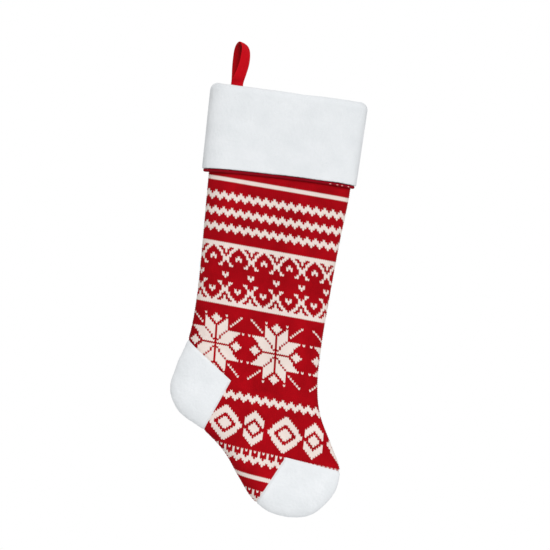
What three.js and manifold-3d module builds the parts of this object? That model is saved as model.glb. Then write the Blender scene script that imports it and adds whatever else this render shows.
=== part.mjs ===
// Hanging stocking: a knitted sock body with fleece heel, toe and cuff, hung by a sewn tape loop.
// Millimetres, +Z up, front towards -Y. The origin is the inside of the loop's crown, where a hook bears.
import * as THREE from 'three';
import { mergeVertices } from 'three/addons/utils/BufferGeometryUtils.js';
import Module from 'manifold-3d';

const wasm = await Module();
wasm.setup();

// ---- Driving dimensions ----
const GAP = 0.3;               // clearance between pieces that are sewn or lie face to face
const FAR = 900;               // reach of the cutting blocks, past everything

const RIM = 30;                // how far in from its edge the sock takes to reach full depth
const RIM_STEPS = 4;
const EDGE_POINTS = 66;        // points along the sock's edge
const KNIT_DEPTH = 11.5;       // half the depth of the lightly filled sock, outside
const KNIT_THICK = 1.8;
const KNIT_EDGE = 1.9;         // half thickness of the sock along its edge
const LINING_THICK = 0.8;
const SEAM_ALLOWANCE = { from: 2.5, to: 5.7, halfThick: 0.8 };
const LINING_INSET = 6.0;      // the lining stops just inside the seam allowance
const HOLLOW_EDGE = 0.2;       // half thickness of the hollows along their edge

const CUFF = { x: 58, z: -59.1, tilt: 7.25 * Math.PI / 180, halfWidth: 92, height: 99.5, halfDepth: 15.6 };
const CUFF_CORNER = 9;         // radius of the fold's two top corners
const FLEECE_THICK = 2.7;
const TURN = { halfWidth: 77.4, flat: 53 };      // fleece turned down inside the mouth, outer face
const TURN_LENGTH = 30;
const FACING_THICK = 0.8;
const FACING_DROP = 3;         // how far the red facing shows below the fleece
const MOUTH_DROP = 3.4;        // sock and lining end this far below the cuff's top

const TAPE = { width: 14.2, thick: 1.8 };
const TAPE_PARTING = 0.4;      // width of the loop's opening at its bottom
const LOOP_SEAT = 4;           // flat across the inside of the crown
const LOOP_SWELL = { half: 6.3, z: -15 };
const LOOP_CLOSED_Z = -36.5;   // below this the two ends of the tape lie together
const LOOP_PIVOT = { alongCuff: -63, aboveCuff: 3.1, radius: 2 };
const LOOP_TWIST = 25 * Math.PI / 180;
const TAIL = { top: 0.5, length: 22, lean: 2.5 * Math.PI / 180 };
const BARTACK = { width: 12, thick: 1, height: 2.4, drop: 7 };

// The sock's edge, from above the mouth down the back of the leg, round heel and toe, and up the front.
const SOCK_EDGE = [
  [-22.5, -7], [-38, -156], [-46, -244], [-52, -300], [-61, -346], [-76, -381], [-83, -408],
  [-74, -433], [-42, -458], [-19, -483], [-3, -511], [14, -538], [34, -553], [58, -559.5],
  [82, -557], [100, -544], [113, -526], [117, -503], [107, -474], [94, -438], [91, -405],
  [96, -355], [106, -296], [118, -231], [129, -178], [149, -29],
];
// Corners of the seams that bound the fleece heel and toe, run on past the sock's edge.
const HEEL_PATCH = [[-11, -398], [-111, -305], [-150, -400], [-73, -508]];
const TOE_PATCH = [[53, -488], [-0.5, -570], [0, -620], [150, -620], [181, -521]];

// ---- Materials ----
const cloth = (color, roughness) => new THREE.MeshStandardMaterial({ color, roughness, metalness: 0 });
const RED = 0xb2101c;
const DARK_RED = 0x7a0c14;
const WHITE = 0xe9edf0;
const LINING_WHITE = 0xdcdad4;

// ---- Outlines ----
const toPoints = (pairs) => pairs.map(([x, z]) => new THREE.Vector2(x, z));

function sockEdge() {
  const curve = new THREE.CatmullRomCurve3(
    SOCK_EDGE.map(([x, z]) => new THREE.Vector3(x, z, 0)), false, 'centripetal');
  return curve.getSpacedPoints(EDGE_POINTS).map((p) => new THREE.Vector2(p.x, p.y));
}

// Moves every side of an anticlockwise outline outward by a distance, or inward if it is negative.
function offset(points, distance) {
  const outward = (a, b) => new THREE.Vector2(b.y - a.y, a.x - b.x).normalize();
  return points.map((point, i) => {
    const before = points.at(i - 1);
    const after = points[(i + 1) % points.length];
    const mitre = outward(before, point).add(outward(point, after));
    return point.clone().addScaledVector(mitre, 2 * distance / mitre.lengthSq());
  });
}

// A point given along and up from the middle of the cuff's top edge, in the plane of the sock.
function cuffPoint(along, up) {
  const cos = Math.cos(CUFF.tilt);
  const sin = Math.sin(CUFF.tilt);
  return [CUFF.x + along * cos + up * sin, CUFF.z - along * sin + up * cos];
}

// ---- Solids ----
function solidOf(geometry) {
  geometry.deleteAttribute('normal');
  geometry.deleteAttribute('uv');
  const merged = mergeVertices(geometry, 1e-4);
  return new wasm.Manifold(new wasm.Mesh({
    numProp: 3,
    vertProperties: new Float32Array(merged.attributes.position.array),
    triVerts: new Uint32Array(merged.index.array),
  }));
}

function meshOf(name, solid, material) {
  const { vertProperties, triVerts } = solid.getMesh();
  const geometry = new THREE.BufferGeometry();
  geometry.setAttribute('position', new THREE.BufferAttribute(vertProperties, 3));
  geometry.setIndex(new THREE.BufferAttribute(triVerts, 1));
  geometry.computeVertexNormals();
  const mesh = new THREE.Mesh(geometry, material);
  mesh.name = name;
  return mesh;
}

// A block with the given outline in the plane of the sock, between two depths.
function prism(points, yFrom = -FAR, yTo = FAR) {
  const geometry = new THREE.ExtrudeGeometry(new THREE.Shape(points),
    { depth: yTo - yFrom, bevelEnabled: false });
  return solidOf(geometry.rotateX(Math.PI / 2).translate(0, yTo, 0));
}

// A sock-shaped cushion, flat in the middle, with an elliptical rim that ends in a narrow straight edge.
function cushion(edge, inset, halfDepth, halfEdge) {
  const geometry = new THREE.ExtrudeGeometry(new THREE.Shape(offset(edge, -RIM)), {
    depth: 2 * halfEdge,
    bevelSize: RIM - inset,
    bevelThickness: halfDepth - halfEdge,
    bevelSegments: RIM_STEPS,
  });
  return solidOf(geometry.translate(0, 0, -halfEdge).rotateX(Math.PI / 2));
}

// A level slice through the cuff, flat from -flat to flat and with elliptical ends, made into a block.
function cuffBlock(halfWidth, halfDepth, top, bottom, flat = CUFF.halfWidth - RIM) {
  const section = new THREE.Shape();
  section.absellipse(flat, 0, halfWidth - flat, halfDepth, -Math.PI / 2, Math.PI / 2, false);
  section.absellipse(-flat, 0, halfWidth - flat, halfDepth, Math.PI / 2, 1.5 * Math.PI, false);
  const geometry = new THREE.ExtrudeGeometry(section,
    { depth: top - bottom, bevelEnabled: false, curveSegments: 7 });
  return solidOf(geometry.translate(0, 0, bottom));
}

// ---- The sock ----
const edge = sockEdge();
const belowMouth = toPoints([
  cuffPoint(-FAR, -MOUTH_DROP), cuffPoint(-FAR, -FAR), cuffPoint(FAR, -FAR), cuffPoint(FAR, -MOUTH_DROP)]);
const HALVES = { front: [-FAR, -GAP / 2], back: [GAP / 2, FAR] };

function sockShell(outerInset, outerDepth, outerEdge, thickness) {
  const outer = cushion(edge, outerInset, outerDepth, outerEdge);
  return outer.subtract(cushion(edge, outerInset + thickness, outerDepth - thickness, HOLLOW_EDGE));
}

function patchBlock(corners, grow) {
  return prism(offset(toPoints(corners), grow));
}

function sockPanels() {
  const shell = sockShell(0, KNIT_DEPTH, KNIT_EDGE, KNIT_THICK);
  return Object.entries(HALVES).flatMap(([side, [yFrom, yTo]]) => {
    const half = shell.intersect(prism(belowMouth, yFrom, yTo));
    const knit = half.subtract(patchBlock(HEEL_PATCH, GAP / 2)).subtract(patchBlock(TOE_PATCH, GAP / 2));
    return [
      meshOf(`knit_${side}`, knit, cloth(RED, 0.9)),
      meshOf(`heel_patch_${side}`, half.intersect(patchBlock(HEEL_PATCH, -GAP / 2)), cloth(WHITE, 0.95)),
      meshOf(`toe_patch_${side}`, half.intersect(patchBlock(TOE_PATCH, -GAP / 2)), cloth(WHITE, 0.95)),
    ];
  });
}

function linings() {
  const shell = sockShell(LINING_INSET, KNIT_DEPTH - KNIT_THICK - GAP, HOLLOW_EDGE + LINING_THICK, LINING_THICK);
  return Object.entries(HALVES).map(([side, [yFrom, yTo]]) =>
    meshOf(`lining_${side}`, shell.intersect(prism(belowMouth, yFrom, yTo)), cloth(LINING_WHITE, 0.85)));
}

function edgeSeam() {
  const { from, to, halfThick } = SEAM_ALLOWANCE;
  const band = prism(offset(edge, -from), -halfThick, halfThick).subtract(prism(offset(edge, -to)));
  return meshOf('edge_seam', band.intersect(prism(belowMouth)), cloth(DARK_RED, 0.9));
}

// ---- The cuff ----
function halfBlock(side) {
  const [yFrom, yTo] = HALVES[side];
  return solidOf(new THREE.BoxGeometry(FAR, yTo - yFrom, FAR).translate(0, (yFrom + yTo) / 2, 0));
}

// Rounds the two top corners of the fold.
function roundedTop() {
  const { halfWidth } = CUFF;
  const block = new THREE.Shape();
  block.moveTo(-halfWidth - 1, -FAR);
  block.lineTo(halfWidth + 1, -FAR);
  block.lineTo(halfWidth + 1, -CUFF_CORNER);
  block.lineTo(halfWidth, -CUFF_CORNER);
  block.absarc(halfWidth - CUFF_CORNER, -CUFF_CORNER, CUFF_CORNER, 0, Math.PI / 2, false);
  block.absarc(CUFF_CORNER - halfWidth, -CUFF_CORNER, CUFF_CORNER, Math.PI / 2, Math.PI, false);
  block.lineTo(-halfWidth - 1, -CUFF_CORNER);
  return prism(block.getPoints(5));
}

// Fleece folded over the mouth: outside wall, fold, and the part turned down inside.
function cuffFleece() {
  const { halfWidth, halfDepth, height } = CUFF;
  const innerDepth = KNIT_DEPTH - KNIT_THICK - LINING_THICK - 2 * GAP;
  const outside = cuffBlock(halfWidth, halfDepth, 0, -height)
    .subtract(cuffBlock(halfWidth - FLEECE_THICK, halfDepth - FLEECE_THICK, -FLEECE_THICK, -FAR));
  const turned = outside.add(cuffBlock(TURN.halfWidth, innerDepth, 0, -TURN_LENGTH, TURN.flat));
  const mouth = cuffBlock(TURN.halfWidth - FLEECE_THICK, innerDepth - FLEECE_THICK, 1, -FAR, TURN.flat);
  return turned.subtract(mouth).intersect(roundedTop());
}

function cuffFacing() {
  const halfWidth = CUFF.halfWidth - FLEECE_THICK - GAP;
  const halfDepth = CUFF.halfDepth - FLEECE_THICK - GAP;
  const bottom = -CUFF.height - FACING_DROP;
  return cuffBlock(halfWidth, halfDepth, -FLEECE_THICK - GAP, bottom)
    .subtract(cuffBlock(halfWidth - FACING_THICK, halfDepth - FACING_THICK, 0, bottom - 1))
    .intersect(roundedTop());
}

function cuff() {
  const group = new THREE.Group();
  group.position.set(CUFF.x, 0, CUFF.z);
  group.rotation.y = CUFF.tilt;
  const fleece = cuffFleece();
  const facing = cuffFacing();
  for (const side of Object.keys(HALVES)) {
    group.add(meshOf(`cuff_${side}`, fleece.intersect(halfBlock(side)), cloth(WHITE, 0.95)));
    group.add(meshOf(`cuff_facing_${side}`, facing.intersect(halfBlock(side)), cloth(DARK_RED, 0.85)));
  }
  group.add(loopTails(), loopBartack());
  return group;
}

// ---- The hanging loop ----
// Both ends of the tape, sewn inside the mouth against the back of the cuff.
function loopTails() {
  const solid = solidOf(new THREE.BoxGeometry(TAPE.width, 2 * TAPE.thick, TAIL.length)
    .translate(0, 0, -TAIL.length / 2));
  const mesh = meshOf('loop_tails', solid, cloth(RED, 0.6));
  mesh.position.set(LOOP_PIVOT.alongCuff, 0, TAIL.top);
  mesh.rotation.x = TAIL.lean;
  return mesh;
}

function loopBartack() {
  const solid = solidOf(new THREE.BoxGeometry(BARTACK.width, BARTACK.thick, BARTACK.height)
    .translate(0, -TAPE.thick - BARTACK.thick / 2 - GAP / 2, -BARTACK.drop));
  const mesh = meshOf('loop_bartack', solid, cloth(DARK_RED, 0.6));
  mesh.position.set(LOOP_PIVOT.alongCuff, 0, TAIL.top);
  mesh.rotation.x = TAIL.lean;
  return mesh;
}

// One side of the loop seen edge on, from where its ends part up to the crown.
function loopSide(bottomHalf, bottomZ, grow) {
  const swell = LOOP_SWELL.half + grow;
  const side = new THREE.Path();
  side.moveTo(bottomHalf, bottomZ);
  side.bezierCurveTo(bottomHalf, bottomZ + 10, swell, LOOP_SWELL.z - 9, swell, LOOP_SWELL.z);
  side.bezierCurveTo(swell, LOOP_SWELL.z + 9, LOOP_SEAT / 2 + 2 + grow, grow, LOOP_SEAT / 2, grow);
  return side.getPoints(7);
}

const mirrored = (points) => points.map((p) => new THREE.Vector2(-p.x, p.y)).reverse();

// The tape as a closed band, edge on in the plane of the shape, extruded by its width.
function loopBand(pivotZ) {
  const outside = loopSide(LOOP_PIVOT.radius, LOOP_CLOSED_Z, TAPE.thick);
  const inside = loopSide(TAPE_PARTING / 2, LOOP_CLOSED_Z + 1, 0);
  const end = new THREE.Path().absarc(0, pivotZ, LOOP_PIVOT.radius, Math.PI, 2 * Math.PI, false).getPoints(8);
  const shape = new THREE.Shape([...outside, ...mirrored(outside), ...end]);
  shape.holes.push(new THREE.Path([...inside, ...mirrored(inside)]));
  const band = new THREE.ExtrudeGeometry(shape, { depth: TAPE.width, steps: 2, bevelEnabled: false });
  const axes = new THREE.Matrix4().makeBasis(
    new THREE.Vector3(0, 1, 0), new THREE.Vector3(0, 0, 1), new THREE.Vector3(1, 0, 0));
  return band.translate(0, 0, -TAPE.width / 2).applyMatrix4(axes);
}

// Sewn flat along the cuff's edge, the tape turns about Z on its way up and leans over to the hook.
function hangingLoop() {
  const [pivotX, pivotZ] = cuffPoint(LOOP_PIVOT.alongCuff, LOOP_PIVOT.aboveCuff);
  const band = loopBand(pivotZ);
  const position = band.attributes.position;
  for (let i = 0; i < position.count; i += 1) {
    const [x, y, z] = [position.getX(i), position.getY(i), position.getZ(i)];
    const turned = THREE.MathUtils.smoothstep(z, LOOP_CLOSED_Z, LOOP_SWELL.z);
    const angle = LOOP_TWIST * turned;
    position.setXYZ(i,
      x * Math.cos(angle) - y * Math.sin(angle) + pivotX * (1 - turned),
      x * Math.sin(angle) + y * Math.cos(angle),
      z - x * Math.tan(CUFF.tilt) * (1 - turned));
  }
  return meshOf('hanging_loop', solidOf(band), cloth(RED, 0.6));
}

const stocking = new THREE.Group();
stocking.add(...sockPanels(), ...linings(), edgeSeam(), cuff(), hangingLoop());
export default stocking;
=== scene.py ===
"""Hanging stocking: a knitted sock with fleece heel, toe and cuff on a red tape loop. Metres, +Z up."""

import math

import bmesh
import bpy
import numpy as np
from mathutils import Matrix, Vector, noise
from mathutils.geometry import delaunay_2d_cdt


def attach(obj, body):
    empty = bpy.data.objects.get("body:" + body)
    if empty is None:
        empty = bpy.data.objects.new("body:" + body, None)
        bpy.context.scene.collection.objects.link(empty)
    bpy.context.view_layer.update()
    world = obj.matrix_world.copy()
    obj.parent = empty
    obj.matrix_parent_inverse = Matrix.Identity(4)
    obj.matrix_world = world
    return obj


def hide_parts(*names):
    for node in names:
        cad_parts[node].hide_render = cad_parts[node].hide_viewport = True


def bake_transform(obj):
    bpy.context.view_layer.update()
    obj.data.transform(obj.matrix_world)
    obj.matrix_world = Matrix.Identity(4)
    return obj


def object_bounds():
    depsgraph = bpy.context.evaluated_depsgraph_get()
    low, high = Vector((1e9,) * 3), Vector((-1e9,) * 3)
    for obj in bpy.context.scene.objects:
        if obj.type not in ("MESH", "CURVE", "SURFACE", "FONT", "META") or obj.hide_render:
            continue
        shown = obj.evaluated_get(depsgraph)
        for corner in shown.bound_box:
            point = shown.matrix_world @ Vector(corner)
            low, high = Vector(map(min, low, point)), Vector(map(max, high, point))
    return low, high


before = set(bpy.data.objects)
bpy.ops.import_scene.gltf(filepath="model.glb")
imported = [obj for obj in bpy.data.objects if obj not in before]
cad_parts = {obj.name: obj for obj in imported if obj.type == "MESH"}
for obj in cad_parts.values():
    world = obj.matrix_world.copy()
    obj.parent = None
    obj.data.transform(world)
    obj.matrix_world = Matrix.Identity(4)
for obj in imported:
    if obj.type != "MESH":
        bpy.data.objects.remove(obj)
cad_box = [list(corner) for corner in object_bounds()]

MM = 0.001
SIDES = {"front": -1, "back": 1}

# ---- The sock's shape, the same as the frame's ----
RIM = 30 * MM                  # how far in from its edge the sock takes to reach full depth
KNIT_DEPTH = 11.5 * MM         # half the depth of the lightly filled sock
LINING_DEPTH = 9.4 * MM
LINING_INSET = 6 * MM
LINING_DROP = 16 * MM          # its edge is sewn under the turned-in fleece
LINING_STEP = 3.5 * MM
LINING_RIPPLE = {"height": 0.5 * MM, "size": 22 * MM, "fade": 6 * MM}
SEAM_GROOVE = {"depth": 0.9 * MM, "width": 1.3 * MM}     # where the front and back are sewn together
PATCH_GROOVE = {"depth": 0.9 * MM, "width": 1.5 * MM}    # where the fleece is sewn to the knit
SOCK_EDGE = np.array([
    [-22.5, -7], [-38, -156], [-46, -244], [-52, -300], [-61, -346], [-76, -381], [-83, -408],
    [-74, -433], [-42, -458], [-19, -483], [-3, -511], [14, -538], [34, -553], [58, -559.5],
    [82, -557], [100, -544], [113, -526], [117, -503], [107, -474], [94, -438], [91, -405],
    [96, -355], [106, -296], [118, -231], [129, -178], [149, -29]]) * MM
HEEL_PATCH = np.array([[-11, -398], [-111, -305], [-150, -400], [-73, -508]]) * MM
TOE_PATCH = np.array([[53, -488], [-0.5, -570], [0, -620], [150, -620], [181, -521]]) * MM
PATCH_STEP = 1.3 * MM
FLEECE_LIFT = 0.9 * MM         # how far a patch's middle stands above its seams
PATCH_NAP = ((0.25 * MM, 2.6 * MM), (0.35 * MM, 14 * MM))    # height and size of fine and of wide bumps

# ---- The cuff ----
CUFF_TOP = np.array([[-34.2, -46.5], [150.2, -71.7]]) * MM       # the fold's two ends
CUFF_BOTTOM = np.array([[-44.8, -147.5], [135.7, -168.7]]) * MM
CUFF_HALF = 92 * MM
CUFF_HEIGHT = 99.5 * MM
CUFF_BOW = 2 * MM              # rise of the lower edge's middle above its ends
CUFF_OUTSIDE = {"half": CUFF_HALF, "depth": 15.6 * MM, "flat": 62 * MM}
CUFF_MOUTH = {"half": 74.7 * MM, "depth": 5.6 * MM, "flat": 53 * MM}
FOLD_RISE = 9 * MM
TURNED_IN = 30 * MM
FLEECE_THICK = 2.7 * MM
CUFF_STEPS = 230               # points along each half
CUFF_NAP = ((0.22 * MM, 2.4 * MM), (0.7 * MM, 30 * MM))
CUFF_SEAM = {"depth": 0.8 * MM, "steps": 1.5, "flattened": 3}
FACING_TOP = -14 * MM
FACING_IN = 3.4 * MM           # how far behind the fleece's face it hangs
FACING_FLAT = 20 * MM          # how far above the fleece's edge its flat part ends
FACING_RIB = 0.12 * MM
HEM_ROLL = np.array([          # the facing's lower edge in section: how far in, and above the fleece's edge
    [3.4, 16], [3.4, 2], [3.2, -0.2], [1.9, -0.8], [1, -1.8], [1.3, -3], [2.4, -3.8], [3.7, -3.6],
    [4.2, -2.4], [4.4, 0], [4.5, 4], [4.6, 16]]) * MM
ROLL_STEPS = 4
STITCH_LINE = 19               # the point of the roll's line that the hem's stitches lie on
HEM_STITCHES = (0.812, 0.858, 0.886, 0.931)        # shares of the way along the front, left to right
HEM_STITCH = np.array([1.3, 0.5, 0.6]) * MM        # half a stitch's length, depth and height

# ---- The hanging loop ----
TAPE_WIDTH = 14.2 * MM
TAPE_THICK = 1.8 * MM
LOOP_PIVOT = np.array([-4.1, -48.1]) * MM
LOOP_TURN = np.array([         # height, and the tape's twist there in degrees
    [-50, 0], [-46, 8], [-41, 20], [-34, 29], [-25, 36], [-15, 42], [-8, 50], [1, 60]])
LOOP_SIDE = np.array([         # one leg of the loop: how far from the plane between the two, and height
    [0.9, -72], [0.9, -58], [0.9, -49], [1.3, -46], [3.6, -41], [5.6, -34], [7, -25], [6.9, -15],
    [5.6, -6.5], [3.2, -1.4]]) * MM
TAPE_SIDES = 32                # points round the tape's section
TAPE_ROUND = 0.8               # below 1, the tape's section is fuller than an ellipse
CROWN_SLOPE = 0.17
LOOP_SWAY = 6.2 * MM           # how far the crown leans from above its seam
CUFF_TILT = math.radians(7.25)
TAIL_LEAN = math.tan(math.radians(2.5))

# ---- The knit: columns (wales) across and rows down, counted from the stripe under the cuff ----
KNIT_ROWS = (0, 50, 100, 150)
KNIT_X = np.array([48.3, 44.6, 39, 24.6]) * MM          # the column through the middle of a flake
KNIT_Z = np.array([-169.2, -285.1, -399.5, -515.6]) * MM
COLUMN_PITCH = np.array([2.49, 2.53, 2.565, 2.6]) * MM
ROW_TILT = np.radians([9.7, 10.35, 11.2, 13.2])
COLUMNS = (-48, 44)            # the first, and one past the last, counted from the middle flake
FIRST_ROW = -42
PLAIN_ROWS = -9                # above this the knit is hidden in the cuff
ROW_HEIGHT = 2.34 * MM
LAST_ROW = 178
FLAKE_ROWS = (66, 74, 97, 105)         # where the flakes' pull on the knit starts, is full and ends
FLAKE_PULL = 0.03              # how much closer the columns lie there, where more yarn runs behind
FLAKE_SLIP = 1.5               # how many columns the knit right of the middle flake is drawn to the seam
SLIP_COLUMNS = (10, 19)
LEG_DROP = 0.55                # how many rows a stitch's point hangs below its shoulders
STITCH_RELIEF = 1.1 * MM

STRIPE = ("#", "#")
ZIGZAG = ("#..", "##.", "###", ".##", "..#")
SPIKED_ZIGZAG = ("#.#", "#..", "#..", "##.", "###", ".##", "..#")
CROSSES = (
    "#######", "#######", "##..##.", "#..##..", "#.##...", "..#....",
    ".##...#", "##...##", "##...#.", ".#.....", "..#....", "..##...")
HEARTS = (".......", ".......", ".......", ".#.....", "##.....", "#......", ".......", ".......")
FLAKE = (
    "........#####..", ".######..###...", "..######..#....", ".#.######......", ".#.######......",
    ".##.######.....", ".###.######....", ".####.######.#.", ".#####.........", ".#####.........",
    "..####.#.......", "#..###..#......", "##..##...#.....", "###..#....#....", "##.........#...",
    "#....#......#..")
MOTIFS = (                     # the rows it starts at, chart, how many columns it takes, middle column
    ((0, 148), STRIPE, 1, 0),
    ((7, 15, 23, 108), ZIGZAG, 4, 1),
    ((136, 155), SPIKED_ZIGZAG, 4, 1),
    ((33,), (*CROSSES, *HEARTS, *CROSSES[::-1]), 12, -1),
    ((70,), (*FLAKE[::-1], *FLAKE[1:]), 29, 0))
DIAMOND_ROWS = (116, 134)
DIAMOND_MIDDLE_ROW = 124.5
DIAMOND_PERIOD = 28
DIAMOND_SLOPE = 8 / 9          # columns that a diamond narrows by in each row
DIAMONDS = (                   # middle column, and half widths of the core, the frame and its cut-off sides
    {"middle": 7.5, "core": 3.2, "inside": 5.35, "outside": 8.65, "sides": 8},
    {"middle": 21, "core": 2.6, "inside": 4.85, "outside": 8.2, "sides": 4})

# ---- Light and camera ----
SENSOR = 36                    # millimetres
CAMERA_DISTANCE = 2.5
SEEN_WIDTH = 0.649             # how much of the object's plane the picture takes in
CAMERA_ASIDE = 7.7 * MM        # from the middle of the object
CAMERA_RAISED = 5.1 * MM
ROOM_LIGHT = 0.4
KEY_LIGHT = {"energy": 1.95, "angle": 32, "turn": (56, 0, 14)}       # degrees
FILL_LIGHT = {"energy": 1.3, "angle": 60, "turn": (-60, 0, 20)}
FLOOR_DROP = 0.4
FLOOR_RADIUS = 2.4


# ---- Plain geometry ----
def smooth_line(points, per_span):
    """A centripetal Catmull-Rom curve through the points."""
    line = np.vstack([2 * points[0] - points[1], points, 2 * points[-1] - points[-2]])
    gap = np.sqrt(np.linalg.norm(np.diff(line, axis=0), axis=1))
    t = np.linspace(0, 1, per_span, endpoint=False)[:, None]
    made = []
    for i in range(1, len(line) - 2):
        before, here, there, after = line[i - 1:i + 3]
        g0, g1, g2 = gap[i - 1:i + 2]
        leave = ((here - before) / g0 - (there - before) / (g0 + g1) + (there - here) / g1) * g1
        arrive = ((there - here) / g1 - (after - here) / (g1 + g2) + (after - there) / g2) * g1
        made.append((2 * t**3 - 3 * t**2 + 1) * here + (t**3 - 2 * t**2 + t) * leave
                    + (3 * t**2 - 2 * t**3) * there + (t**3 - t**2) * arrive)
    return np.vstack([*made, line[-2:-1]])


def spaced(points, step):
    """The same line with points an even step apart."""
    along = np.concatenate([[0], np.cumsum(np.linalg.norm(np.diff(points, axis=0), axis=1))])
    places = np.linspace(0, along[-1], max(2, round(along[-1] / step)) + 1)
    return np.column_stack([np.interp(places, along, column) for column in points.T])


def smoothstep(value, start, end):
    t = np.clip((value - start) / (end - start), 0, 1)
    return t * t * (3 - 2 * t)


def inward_of(direction):
    return np.column_stack([-direction[:, 1], direction[:, 0]])


EDGE_LINE = smooth_line(SOCK_EDGE, 8)


def edge_field(points):
    """How far in from the sock's edge each point is, and the direction straight in."""
    start, run = EDGE_LINE[:-1], np.diff(EDGE_LINE, axis=0)
    length2 = (run**2).sum(1)
    inward = inward_of(run / np.sqrt(length2)[:, None])
    depth, direction = np.empty(len(points)), np.empty((len(points), 2))
    for first in range(0, len(points), 5000):
        part = slice(first, first + 5000)
        away = points[part, None, :] - start[None]
        t = np.clip((away * run).sum(2) / length2, 0, 1)
        away -= t[:, :, None] * run
        near = (away**2).sum(2).argmin(1)
        own = np.arange(len(near))
        gap = away[own, near]
        side = np.sign((gap * inward[near]).sum(1))
        distance = np.linalg.norm(gap, axis=1)
        depth[part] = side * distance
        straight = gap * side[:, None] / np.maximum(distance, 1e-9)[:, None]
        direction[part] = np.where(distance[:, None] > 0.05 * MM, straight, inward[near])
    return depth, direction


def line_distance(points, corners):
    """Distance from each point to the first two seams of a patch, which start at its first corner."""
    nearest = np.full(len(points), np.inf)
    for end in (corners[1], corners[-1]):
        run = end - corners[0]
        t = np.clip(((points - corners[0]) @ run) / (run @ run), 0, 1)
        nearest = np.minimum(nearest, np.linalg.norm(points - corners[0] - t[:, None] * run, axis=1))
    return nearest


class Wrap:
    """Lays flat cloth over half of the sock, which curves like a quarter ellipse from its edge inwards."""

    def __init__(self, depth, inset=0.0):
        turn = np.linspace(0, math.pi / 2, 200)
        self.depth, self.inset, self.reach = depth, inset, RIM - inset
        self.into = self.reach * (1 - np.cos(turn))
        step = np.hypot(np.diff(self.into), np.diff(depth * np.sin(turn)))
        self.turn, self.arc = turn, np.concatenate([[0], np.cumsum(step)])
        self.allowance = self.arc[-1] - self.reach      # flat cloth beyond the edge that is seen

    def flat_distance(self, points):
        """Distance in from the flat cloth's own edge."""
        depth, direction = edge_field(points)
        return depth - self.inset + self.allowance, direction

    def over(self, points, height, side):
        """Flat (x, z) and height above the cloth, to (x, y, z)."""
        distance, inward = self.flat_distance(points)
        turn = np.interp(distance, self.arc, self.turn)
        shift = np.interp(distance, self.arc, self.into) + self.allowance - distance
        shift = np.where(distance < self.arc[-1], shift, 0)
        lean = np.column_stack([-self.depth * np.cos(turn), self.reach * np.sin(turn)])
        lean /= np.linalg.norm(lean, axis=1)[:, None]
        plane = points + inward * (shift + lean[:, 0] * height)[:, None]
        y = side * (self.depth * np.sin(turn) + lean[:, 1] * height)
        return np.column_stack([plane[:, 0], y, plane[:, 1]])


knit_wrap = Wrap(KNIT_DEPTH)


def soft_noise(points, size, octaves=2):
    """Smooth noise from -1 to 1, with bumps about this size."""
    return np.array([noise.fractal(Vector(p) / size, 1.0, 2.0, octaves) for p in points])


def drawn_in(flat, distance):
    """Moves the outer points of each row of flat cloth onto its edge. Says which points are inside it."""
    inside = distance > 0
    for line, far, within in zip(flat, distance, inside):
        first = within.argmax()
        last = len(within) - 1 - within[::-1].argmax()
        if first > 0:
            share = far[first] / (far[first] - far[first - 1])
            line[:first] = line[first] + share * (line[first - 1] - line[first])
        if last < len(within) - 1:
            share = far[last] / (far[last] - far[last + 1])
            line[last + 1:] = line[last] + share * (line[last + 1] - line[last])
    return inside


# ---- Meshes ----
def new_object(name, mesh):
    made = bpy.data.objects.new(name, mesh)
    bpy.context.scene.collection.objects.link(made)
    return made


def mesh_of(name, points, faces, materials, face_material=None):
    mesh = bpy.data.meshes.new(name)
    mesh.from_pydata([tuple(p) for p in points], [], [tuple(f) for f in faces])
    for material in materials:
        mesh.materials.append(material)
    if face_material is not None:
        mesh.polygons.foreach_set("material_index", np.asarray(face_material, np.int32))
    mesh.polygons.foreach_set("use_smooth", np.full(len(mesh.polygons), True))
    mesh.validate()
    return new_object(name, mesh)


def grid_faces(rows, columns, close=False):
    """Quads of a grid of points, row after row. With close, the last column joins the first."""
    i, j = np.meshgrid(np.arange(rows - 1), np.arange(columns if close else columns - 1), indexing="ij")
    right = (j + 1) % columns
    above, below = i * columns, (i + 1) * columns
    return np.stack([above + j, above + right, below + right, below + j]).reshape(4, -1).T


def grid_object(name, points, material, flip):
    faces = grid_faces(*points.shape[:2])
    return mesh_of(name, points.reshape(-1, 3), faces[:, ::-1] if flip else faces, [material])


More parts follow.
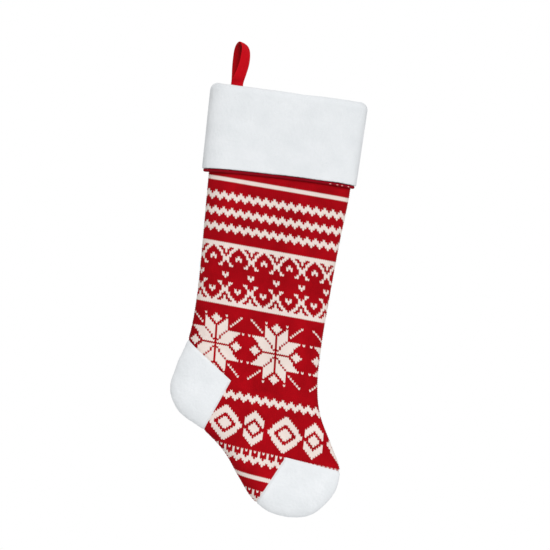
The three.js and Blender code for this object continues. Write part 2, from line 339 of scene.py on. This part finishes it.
# ---- Materials ----
def fabric(name, dark, light, grain, fibre, roughness=0.9, sheen=0.12, tint=(1, 1, 1), relief=0.15):
    """Cloth, with colour that varies in soft patches and by fibre. Grain is how wide a fibre is, and fibre
    how it is stretched."""
    material = bpy.data.materials.new(name)
    material.use_nodes = True
    nodes, links = material.node_tree.nodes, material.node_tree.links
    shader = nodes["Principled BSDF"]
    shader.inputs["Roughness"].default_value = roughness
    shader.inputs["Specular IOR Level"].default_value = 0.06
    shader.inputs["Sheen Weight"].default_value = sheen
    shader.inputs["Sheen Roughness"].default_value = 0.45
    shader.inputs["Sheen Tint"].default_value = (*tint, 1)
    place = nodes.new("ShaderNodeTexCoord")
    stretch = nodes.new("ShaderNodeMapping")
    stretch.inputs["Scale"].default_value = fibre
    links.new(place.outputs["Object"], stretch.inputs["Vector"])
    fine = nodes.new("ShaderNodeTexNoise")
    fine.inputs["Scale"].default_value = 1 / grain
    fine.inputs["Detail"].default_value = 4
    links.new(stretch.outputs["Vector"], fine.inputs["Vector"])
    patches = nodes.new("ShaderNodeTexNoise")
    patches.inputs["Scale"].default_value = 45           # patches about 20 mm across
    links.new(place.outputs["Object"], patches.inputs["Vector"])
    both = nodes.new("ShaderNodeMix")
    both.inputs["Factor"].default_value = 0.6
    links.new(patches.outputs["Fac"], both.inputs["A"])
    links.new(fine.outputs["Fac"], both.inputs["B"])
    colours = nodes.new("ShaderNodeValToRGB")
    colours.color_ramp.elements[0].position = 0.3
    colours.color_ramp.elements[0].color = (*dark, 1)
    colours.color_ramp.elements[1].position = 0.7
    colours.color_ramp.elements[1].color = (*light, 1)
    links.new(both.outputs["Result"], colours.inputs["Fac"])
    links.new(colours.outputs["Color"], shader.inputs["Base Color"])
    bump = nodes.new("ShaderNodeBump")
    bump.inputs["Strength"].default_value = 0.8
    bump.inputs["Distance"].default_value = relief * MM
    links.new(fine.outputs["Fac"], bump.inputs["Height"])
    links.new(bump.outputs["Normal"], shader.inputs["Normal"])
    return material


EVEN = (1, 1, 1)
SPUN = (1, 1, 0.4)             # fibres run down the stitches
RED_TINT = (1, 0.3, 0.3)
red_yarn = fabric("red_yarn", (0.25, 0.001, 0.004), (0.54, 0.003, 0.010), 0.35 * MM, SPUN, tint=RED_TINT)
cream_yarn = fabric("cream_yarn", (0.82, 0.70, 0.645), (0.92, 0.82, 0.765), 0.35 * MM, SPUN)
fleece = fabric("white_fleece", (0.73, 0.76, 0.78), (0.84, 0.86, 0.88), 0.6 * MM, EVEN,
                roughness=1, sheen=0.15, relief=0.25)
# Darker than the sock's red knit: painted shade for where the facing hangs under the fleece's edge.
facing_knit_painted_shade = fabric("red_facing", (0.17, 0.001, 0.006), (0.32, 0.003, 0.012), 0.4 * MM, (1, 1, 0.5),
                     tint=RED_TINT)
lining_cloth = fabric("lining", (0.7, 0.68, 0.64), (0.84, 0.82, 0.78), 0.3 * MM, EVEN,
                      roughness=0.8, sheen=0.1)
tape_cloth = fabric("red_tape", (0.48, 0.001, 0.006), (0.68, 0.003, 0.012), 0.3 * MM, (0.35, 1, 1),
                    roughness=0.7, tint=RED_TINT)
# The loop's inner faces get this darker red: painted shade for the inside of the loop.
tape_painted_shade = fabric("red_tape_painted_shade", (0.30, 0.001, 0.003), (0.46, 0.002, 0.006), 0.3 * MM, (0.35, 1, 1),
                   roughness=0.8, tint=RED_TINT)
thread = fabric("red_thread", (0.22, 0.001, 0.005), (0.4, 0.003, 0.01), 0.15 * MM, (1, 1, 0.3),
                roughness=0.6, tint=RED_TINT)
pale_thread = fabric("pale_thread", (0.62, 0.2, 0.2), (0.8, 0.36, 0.34), 0.15 * MM, (1, 1, 0.3),
                     roughness=0.6)


# ---- The knitted sock ----
def knit_chart():
    """cream[row, column]: whether each stitch is cream. Motifs mirror about their own middle column."""
    column = np.arange(*COLUMNS)
    cream = np.zeros((LAST_ROW, len(column)), bool)

    def band(first, chart, period, middle):
        across = abs((column - middle + period // 2) % period - period // 2)
        for row, line in enumerate(chart, first):
            cream[row] = np.array([mark == "#" for mark in line])[across]

    for rows, chart, period, middle in MOTIFS:
        for first in rows:
            band(first, chart, period, middle)
    for diamond in DIAMONDS:
        half = DIAMOND_PERIOD / 2
        across = abs((column - diamond["middle"] + half) % DIAMOND_PERIOD - half)
        for row in range(*DIAMOND_ROWS):
            ring = across + abs(row - DIAMOND_MIDDLE_ROW) * DIAMOND_SLOPE
            border = (ring > diamond["inside"]) & (ring < diamond["outside"]) & (across <= diamond["sides"])
            cream[row] |= (ring < diamond["core"]) | border
    return cream


def knit_place(column, row):
    """Where on the flat cloth a point lies that is given in columns and rows."""
    x, z, pitch, tilt = (np.polyval(np.polyfit(KNIT_ROWS, values, 3), np.maximum(row, 0))
                         for values in (KNIT_X, KNIT_Z, COLUMN_PITCH, ROW_TILT))
    z = z - ROW_HEIGHT * np.minimum(row, 0)
    flakes = smoothstep(row, *FLAKE_ROWS[:2]) * (1 - smoothstep(row, *FLAKE_ROWS[2:]))
    pitch = pitch * (1 - FLAKE_PULL * flakes)
    column = column + FLAKE_SLIP * flakes * smoothstep(column, *SLIP_COLUMNS)
    return np.stack([x + column * pitch * np.cos(tilt), z - column * pitch * np.sin(tilt)], -1)


def flat_knit(wrap):
    """The stitches laid flat: points (x, height, z), faces, and which faces are cream."""
    column = np.arange(COLUMNS[0] - 0.5, COLUMNS[1] - 0.5 + 0.01, 0.25)         # four points to a stitch
    row = np.concatenate([np.arange(FIRST_ROW, PLAIN_ROWS, 4.0), np.arange(PLAIN_ROWS, LAST_ROW, 0.5)])
    across, down = np.meshgrid(column, row)
    stitched = smoothstep(down, PLAIN_ROWS, PLAIN_ROWS + 2)
    part = (across + 0.5) % 1
    leg = 1 - abs(4 * abs(part - 0.5) - 1)               # 1 on each leg's crest, 0 between legs
    valley = np.where(part == 0.5, 0.25, 0)              # a stitch's legs meet higher than two columns do
    bead = np.where(down % 1 == 0.5, 1, 0.35)            # fullest halfway down a stitch
    height = STITCH_RELIEF * stitched * (np.maximum(leg, valley) * bead - 0.5)
    drop = LEG_DROP * (1 - abs(2 * part - 1)) * stitched
    flat = knit_place(across, down + drop)
    distance = wrap.flat_distance(flat.reshape(-1, 2))[0].reshape(across.shape)
    keep = (distance > 0).any(1)
    flat, height, down, across = flat[keep], height[keep], down[keep], across[keep]
    inside = drawn_in(flat, distance[keep])
    points = np.stack([flat[..., 0], height, flat[..., 1]], -1).reshape(-1, 3)
    faces = grid_faces(*across.shape)
    used = inside.ravel()[faces].any(1)
    corner = faces[:, 0]
    stitch_row = np.floor(down.ravel()[corner]).astype(int)
    stitch_column = np.floor(across.ravel()[corner] + 0.5 + 1e-6).astype(int) - COLUMNS[0]
    chart = knit_chart()
    in_chart = (stitch_row >= 0) & (stitch_row < LAST_ROW)
    nearest = np.clip(stitch_row, 0, LAST_ROW - 1), np.clip(stitch_column, 0, chart.shape[1] - 1)
    return points, faces[used], (in_chart & chart[nearest])[used]


def cut_out(mesh, corners):
    """Cuts a patch's place out of a flat mesh."""
    bm = bmesh.new()
    bm.from_mesh(mesh)
    sides = [(corners[0], corners[1]), (corners[-1], corners[0])]
    outward = []
    for start, end in sides:
        run = end - start
        normal = Vector((run[1], 0, -run[0])).normalized()
        outward.append((Vector((start[0], 0, start[1])), normal))
        bmesh.ops.bisect_plane(bm, geom=bm.verts[:] + bm.edges[:] + bm.faces[:], dist=1e-6,
                               plane_co=outward[-1][0], plane_no=normal)
    middle = Vector((corners[:, 0].mean(), 0, corners[:, 1].mean()))
    signs = [math.copysign(1, (middle - point).dot(normal)) for point, normal in outward]
    gone = [face for face in bm.faces
            if all((face.calc_center_median() - point).dot(normal) * sign > 0
                   for (point, normal), sign in zip(outward, signs))]
    bmesh.ops.delete(bm, geom=gone, context="FACES")
    bm.to_mesh(mesh)
    bm.free()


def groove(distance, shape):
    return -shape["depth"] * np.exp(-(distance / shape["width"])**2)


def all_points(mesh):
    co = np.empty(len(mesh.vertices) * 3)
    mesh.vertices.foreach_get("co", co)
    return co.reshape(-1, 3)


def flat_size(mesh):
    points = all_points(mesh)
    return np.ptp(points[:, 0]), np.ptp(points[:, 2])


def seam_height(wrap, flat):
    """The dips along the side seam and round the patches."""
    distance = wrap.flat_distance(flat)[0]
    dip = groove(np.maximum(distance, 0), SEAM_GROOVE)
    for patch in (HEEL_PATCH, TOE_PATCH):
        dip += groove(line_distance(flat, patch), PATCH_GROOVE)
    return dip


def lie_over(piece, wrap, side, lift=0.0):
    """Turns a flat piece, whose y is its height above the cloth, into its place on the sock."""
    mesh = piece.data
    points = all_points(mesh)
    flat = points[:, [0, 2]]
    height = points[:, 1] + seam_height(wrap, flat) + lift
    mesh.vertices.foreach_set("co", wrap.over(flat, height, side).ravel())
    if side > 0:
        mesh.flip_normals()
    mesh.update()


def tidy_mesh(mesh):
    """Joins points that lie together and drops faces without area."""
    bm = bmesh.new()
    bm.from_mesh(mesh)
    bmesh.ops.remove_doubles(bm, verts=bm.verts[:], dist=0.02 * MM)
    bmesh.ops.dissolve_degenerate(bm, edges=bm.edges[:], dist=1e-6)
    bm.to_mesh(mesh)
    bm.free()


def knit_panels():
    points, faces, cream = flat_knit(knit_wrap)
    for name, side in SIDES.items():
        piece = mesh_of(f"knit_panel_{name}", points, faces, [red_yarn, cream_yarn], cream)
        tidy_mesh(piece.data)
        for patch in (HEEL_PATCH, TOE_PATCH):
            cut_out(piece.data, patch)
        flat_size(piece.data)
        lie_over(piece, knit_wrap, side)
        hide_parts(f"knit_{name}")
        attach(piece, "stocking")


# ---- Fleece heel and toe ----
def clipped(polygon, corners):
    """The part of a polygon that lies within a convex, clockwise or anticlockwise, patch."""
    turn = np.sign(np.cross(corners[1] - corners[0], corners[2] - corners[1]))
    for start, end in zip(corners, np.roll(corners, -1, axis=0)):
        run = end - start
        side = turn * (run[0] * (polygon[:, 1] - start[1]) - run[1] * (polygon[:, 0] - start[0]))
        kept = []
        for i in range(len(polygon)):
            j = (i + 1) % len(polygon)
            if side[i] >= 0:
                kept.append(polygon[i])
            if (side[i] >= 0) != (side[j] >= 0):
                kept.append(polygon[i] + (polygon[j] - polygon[i]) * side[i] / (side[i] - side[j]))
        polygon = np.array(kept)
    return polygon


def flat_patch(wrap, corners):
    """A patch's outline, with the cloth beyond the seen edge, filled with even triangles."""
    run = np.gradient(EDGE_LINE, axis=0)
    run /= np.linalg.norm(run, axis=1)[:, None]
    cloth_edge = EDGE_LINE - inward_of(run) * wrap.allowance
    outline = clipped(cloth_edge, corners)
    outline = spaced(np.vstack([outline, outline[:1]]), PATCH_STEP)[:-1]
    low, high = outline.min(0), outline.max(0)
    x = np.arange(low[0], high[0], PATCH_STEP)
    z = np.arange(low[1], high[1], PATCH_STEP * math.sqrt(3) / 2)
    x, z = np.meshgrid(x, z)
    x[1::2] += PATCH_STEP / 2
    inner = np.column_stack([x.ravel(), z.ravel()])
    after = np.roll(outline, -1, axis=0)
    crossed = ((outline[:, 1] > inner[:, None, 1]) != (after[:, 1] > inner[:, None, 1]))
    rise = after[:, 1] - outline[:, 1]
    rise = np.where(rise == 0, 1e-12, rise)
    crossing = outline[:, 0] + (inner[:, None, 1] - outline[:, 1]) / rise * (after - outline)[:, 0]
    within = (crossed & (inner[:, None, 0] < crossing)).sum(1) % 2 == 1
    clear = np.array([np.linalg.norm(outline - p, axis=1).min() > 0.6 * PATCH_STEP for p in inner])
    points = np.vstack([outline, inner[within & clear]])
    edge = list(range(len(outline)))
    made = delaunay_2d_cdt([Vector(p) for p in points], [], [edge], 1, 1e-7)
    return np.array([list(v) for v in made[0]]), [tuple(f) for f in made[2]]


def fleece_patches(label, corners):
    flat, faces = flat_patch(knit_wrap, corners)
    points = np.column_stack([flat[:, 0], np.zeros(len(flat)), flat[:, 1]])
    puff = FLEECE_LIFT * smoothstep(line_distance(flat, corners), 0, 3 * MM)
    puff *= smoothstep(knit_wrap.flat_distance(flat)[0], 0, 4 * MM)
    for name, side in SIDES.items():
        (fine, fine_size), (wide, wide_size) = PATCH_NAP
        nap = fine * soft_noise(points * (1, 1, side), fine_size) + wide * soft_noise(points, wide_size)
        piece = mesh_of(f"fleece_{label}_{name}", points, faces, [fleece])
        if sum(face.normal.y for face in piece.data.polygons) > 0:
            piece.data.flip_normals()
        flat_size(piece.data)
        lie_over(piece, knit_wrap, side, puff + nap)
        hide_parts(f"{label}_patch_{name}")
        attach(piece, "stocking")


# ---- Lining ----
def lining_panels():
    wrap = Wrap(LINING_DEPTH, LINING_INSET)
    middle = CUFF_TOP.mean(0)
    low, high = EDGE_LINE.min(0), EDGE_LINE.max(0)
    across, down = np.meshgrid(np.arange(low[0], high[0], LINING_STEP),
                               np.arange(LINING_DROP, middle[1] - low[1] + LINING_DROP, LINING_STEP))
    flat = np.stack([across, middle[1] - down - (across - middle[0]) * math.tan(CUFF_TILT)], -1)
    distance = wrap.flat_distance(flat.reshape(-1, 2))[0].reshape(across.shape)
    keep = (distance > 0).any(1)
    flat, distance = flat[keep], distance[keep]
    inside = drawn_in(flat, distance)
    points = flat.reshape(-1, 2)
    faces = grid_faces(*inside.shape)
    faces = faces[inside.ravel()[faces].any(1)]
    for name, side in SIDES.items():
        ripple = soft_noise(np.column_stack([points, np.full(len(points), side)]), LINING_RIPPLE["size"])
        ripple *= LINING_RIPPLE["height"] * smoothstep(distance.ravel(), 0, LINING_RIPPLE["fade"])
        placed = wrap.over(points, ripple, side)
        laid = np.column_stack([points[:, 0], np.zeros(len(points)), points[:, 1]])
        piece = mesh_of(f"lining_sheet_{name}", laid, faces if side < 0 else faces[:, ::-1], [lining_cloth])
        flat_size(piece.data)
        piece.data.vertices.foreach_set("co", placed.ravel())
        tidy_mesh(piece.data)
        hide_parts(f"lining_{name}")
        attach(piece, "stocking")


# ---- The cuff ----
def half_slot(shape, count):
    """Half of a slot-shaped section, from one end round the front to the other: (along, depth)."""
    turn = np.linspace(0, math.pi / 2, 24)
    end = np.column_stack([shape["flat"] + (shape["half"] - shape["flat"]) * np.cos(turn),
                           shape["depth"] * np.sin(turn)])
    line = np.vstack([end * (-1, 1), end[::-1]])
    along = np.concatenate([[0], np.cumsum(np.linalg.norm(np.diff(line, axis=0), axis=1))])
    places = np.linspace(0, along[-1], count)
    return np.column_stack([np.interp(places, along, c) for c in line.T])


def cuff_place(along, up):
    """Where in the sock's plane a point of the cuff lies, along and up from its top edge's middle."""
    u = ((along / CUFF_HALF + 1) / 2)[..., None]
    v = (-up / CUFF_HEIGHT)[..., None]
    top = CUFF_TOP[0] * (1 - u) + CUFF_TOP[1] * u
    bottom = CUFF_BOTTOM[0] * (1 - u) + CUFF_BOTTOM[1] * u
    bow = CUFF_BOW * (1 - (along / CUFF_HALF)**2)[..., None] * np.clip(v, 0, 1) * (0, 1)
    return top * (1 - v) + bottom * v + bow


def ring_half(profile, side, count):
    """Sweeps a profile round half of the cuff. Each of its points is (share of the way from the outside
    to the mouth, distance in, height)."""
    outer, mouth = half_slot(CUFF_OUTSIDE, count), half_slot(CUFF_MOUTH, count)
    run = np.gradient(outer, axis=0)
    run /= np.linalg.norm(run, axis=1)[:, None]
    inward = np.column_stack([run[:, 1], -run[:, 0]])
    rows = []
    for share, into, up in profile:
        section = outer * (1 - share) + mouth * share + inward * into
        section[:, 1] = np.maximum(section[:, 1], 0)
        plane = cuff_place(section[:, 0], np.full(count, up))
        rows.append(np.column_stack([plane[:, 0], side * section[:, 1], plane[:, 1]]))
    return np.array(rows)


def displaced(points, height):
    """Moves a grid of points along its own normals."""
    along = np.gradient(points, axis=1)
    down = np.gradient(points, axis=0)
    normal = np.cross(along, down)
    normal /= np.maximum(np.linalg.norm(normal, axis=2), 1e-12)[..., None]
    return points + normal * height[..., None]


def fleece_profile():
    """From inside the lower edge, up the outside, over the fold and down inside the mouth."""
    edge = FLEECE_THICK / 2
    turn = np.radians(np.linspace(-150, 0, 6))
    hem = [(0, edge * (1 - math.cos(t)), edge - CUFF_HEIGHT + edge * math.sin(t)) for t in turn]
    wall = [(0, 0, up) for up in np.linspace(edge - CUFF_HEIGHT, -FOLD_RISE, 64)[1:-1]]
    fold = [((1 - math.cos(t)) / 2, 0, FOLD_RISE * (math.sin(t) - 1)) for t in np.linspace(0, math.pi, 22)]
    inside = [(1, 0, up) for up in np.linspace(-FOLD_RISE, -TURNED_IN, 14)[1:]]
    return hem + wall + fold + inside


def cuff_fleece():
    profile = fleece_profile()
    for name, side in SIDES.items():
        points = ring_half(profile, side, CUFF_STEPS)
        rows, columns = points.shape[:2]
        flat = points.reshape(-1, 3)
        (fine, fine_size), (wide, wide_size) = CUFF_NAP
        nap = fine * soft_noise(flat, fine_size) + wide * soft_noise(flat, wide_size, octaves=1)
        nap = nap.reshape(rows, columns)
        seam = np.minimum(np.arange(columns), np.arange(columns)[::-1])
        nap *= smoothstep(seam, 0, CUFF_SEAM["flattened"])
        nap -= CUFF_SEAM["depth"] * np.exp(-(seam / CUFF_SEAM["steps"])**2)
        piece = grid_object(f"fleece_cuff_{name}", displaced(points, nap * side), fleece, flip=side > 0)
        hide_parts(f"cuff_{name}")
        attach(piece, "stocking")


def cuff_facing():
    """The knit behind the fleece, rolled over where it shows below it."""
    roll = smooth_line(HEM_ROLL, ROLL_STEPS)
    deep = [(0, FACING_IN, up) for up in np.linspace(FACING_TOP, FACING_FLAT - CUFF_HEIGHT, 8)]
    profile = deep + [(0, into, up - CUFF_HEIGHT) for into, up in roll]
    for name, side in SIDES.items():
        points = ring_half(profile, side, CUFF_STEPS)
        rows, columns = points.shape[:2]
        rib = FACING_RIB * np.cos(np.arange(columns) * math.pi)[None] * np.ones((rows, 1))
        piece = grid_object(f"facing_{name}", displaced(points, rib), facing_knit_painted_shade, flip=side < 0)
        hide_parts(f"cuff_facing_{name}")
        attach(piece, "stocking")
        if name == "front":
            hem_stitches(points[len(deep) + STITCH_LINE])


def hem_stitches(line):
    """Short pale stitches that show on the roll near its right end."""
    for number, share in enumerate(HEM_STITCHES):
        middle = share * (len(line) - 1)
        ends = [Vector(line[round(middle + step)]) for step in (-1, 1)]
        bpy.ops.mesh.primitive_uv_sphere_add(segments=12, ring_count=8, radius=1)
        stitch = bpy.context.object
        stitch.name = f"hem_stitch_{number}"
        along = (ends[1] - ends[0]).normalized()
        place = along.to_track_quat("X", "Z").to_matrix().to_4x4()
        place.translation = (ends[0] + ends[1]) / 2 + Vector((0, -0.2 * MM, 0))
        stitch.data.transform(place @ Matrix.Diagonal((*HEM_STITCH, 1)))
        stitch.data.materials.append(pale_thread)
        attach(stitch, "stocking")


# ---- The hanging loop ----
def loop_path():
    """The tape's middle line seen edge on, up one side, over the crown and down the other: (across, z)."""
    crown = np.array([[0, TAPE_THICK / 2]])
    line = np.vstack([LOOP_SIDE, crown, LOOP_SIDE[::-1] * (-1, 1)])
    return spaced(smooth_line(line, 12), 0.9 * MM)


def tape_points(path):
    """The tape's surface: its section at each point of the path, twisted, leaned and sloped into place."""
    run = np.gradient(path, axis=0)
    run /= np.linalg.norm(run, axis=1)[:, None]
    across = np.column_stack([run[:, 1], -run[:, 0]])
    turn = np.linspace(0, 2 * math.pi, TAPE_SIDES, endpoint=False)
    width = TAPE_WIDTH / 2 * np.sign(np.cos(turn)) * abs(np.cos(turn))**TAPE_ROUND
    thick = TAPE_THICK / 2 * np.sign(np.sin(turn)) * abs(np.sin(turn))**TAPE_ROUND
    section = path[:, None] + across[:, None] * thick[None, :, None]
    y, z = section[..., 0], section[..., 1]
    x = np.broadcast_to(width, y.shape)
    angle = np.radians(np.interp(z / MM, *LOOP_TURN.T))
    turned = np.sin(math.pi / 2 * np.clip((z - LOOP_PIVOT[1]) / -LOOP_PIVOT[1], 0, 1))
    lean = TAIL_LEAN * np.minimum(z - LOOP_PIVOT[1], 0)
    return np.stack([
        x * np.cos(angle) - y * np.sin(angle) + LOOP_PIVOT[0] + LOOP_SWAY * turned,
        x * np.sin(angle) + y * np.cos(angle) - lean,
        z - x * math.tan(CUFF_TILT) * (1 - turned) - (x + TAPE_WIDTH / 2) * CROWN_SLOPE * turned**2], -1)


def hanging_loop():
    path = loop_path()
    points = tape_points(path)
    faces = [tuple(f) for f in grid_faces(*points.shape[:2], close=True)]
    # Faces on the inner half of the tape's section take the darker red, painted shade inside the loop.
    inner = [f[0] % TAPE_SIDES >= TAPE_SIDES // 2 for f in faces]
    faces.append(tuple(range(TAPE_SIDES)))
    faces.append(tuple(range((len(points) - 1) * TAPE_SIDES, len(points) * TAPE_SIDES))[::-1])
    inner += [False, False]
    piece = mesh_of("tape_loop", points.reshape(-1, 3), faces, [tape_cloth, tape_painted_shade], inner)
    bm = bmesh.new()
    bm.from_mesh(piece.data)
    bmesh.ops.recalc_face_normals(bm, faces=bm.faces[:])
    bm.to_mesh(piece.data)
    bm.free()
    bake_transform(piece)
    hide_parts("hanging_loop", "loop_tails")


# ---- Camera, light and stage ----
def sun(name, light):
    lamp = bpy.data.lights.new(name, "SUN")
    lamp.energy = light["energy"]
    lamp.angle = math.radians(light["angle"])
    new_object(name, lamp).rotation_euler = [math.radians(turn) for turn in light["turn"]]


def room():
    """Soft light from all round, which the camera sees as white."""
    world = bpy.data.worlds.new("studio")
    bpy.context.scene.world = world
    world.use_nodes = True
    nodes, links = world.node_tree.nodes, world.node_tree.links
    lit = nodes["Background"]
    lit.inputs["Color"].default_value = (1, 1, 1, 1)
    lit.inputs["Strength"].default_value = ROOM_LIGHT
    white = nodes.new("ShaderNodeBackground")
    white.inputs["Color"].default_value = (1, 1, 1, 1)
    white.inputs["Strength"].default_value = 1.0
    ray = nodes.new("ShaderNodeLightPath")
    mix = nodes.new("ShaderNodeMixShader")
    links.new(ray.outputs["Is Camera Ray"], mix.inputs["Fac"])
    links.new(lit.outputs["Background"], mix.inputs[1])
    links.new(white.outputs["Background"], mix.inputs[2])
    links.new(mix.outputs["Shader"], nodes["World Output"].inputs["Surface"])


def studio():
    low, high = (Vector(corner) for corner in cad_box)
    middle = (low + high) / 2
    scene = bpy.context.scene
    scene.view_settings.view_transform = "Standard"

    lens = bpy.data.cameras.new("camera")
    lens.sensor_width = SENSOR
    lens.lens = SENSOR * CAMERA_DISTANCE / SEEN_WIDTH
    camera = new_object("camera", lens)
    camera.location = (middle.x + CAMERA_ASIDE, -CAMERA_DISTANCE, middle.z + CAMERA_RAISED)
    camera.rotation_euler = (math.pi / 2, 0, 0)
    scene.camera = camera

    room()
    sun("key", KEY_LIGHT)
    sun("fill", FILL_LIGHT)

    bpy.ops.mesh.primitive_circle_add(vertices=96, radius=FLOOR_RADIUS, fill_type="NGON",
                                      location=(middle.x, 0, low.z - FLOOR_DROP))
    floor = bpy.context.object
    floor.name = "floor"
    paint = bpy.data.materials.new("floor")
    paint.use_nodes = True
    paint.node_tree.nodes["Principled BSDF"].inputs["Base Color"].default_value = (0.9, 0.9, 0.9, 1)
    paint.node_tree.nodes["Principled BSDF"].inputs["Roughness"].default_value = 0.8
    floor.data.materials.append(paint)


studio()
knit_panels()
fleece_patches("heel", HEEL_PATCH)
fleece_patches("toe", TOE_PATCH)
lining_panels()
cuff_fleece()
cuff_facing()
hanging_loop()
for node in ("edge_seam", "loop_bartack"):
    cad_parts[node].data.materials.clear()
    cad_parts[node].data.materials.append(thread)

bpy.context.view_layer.update()
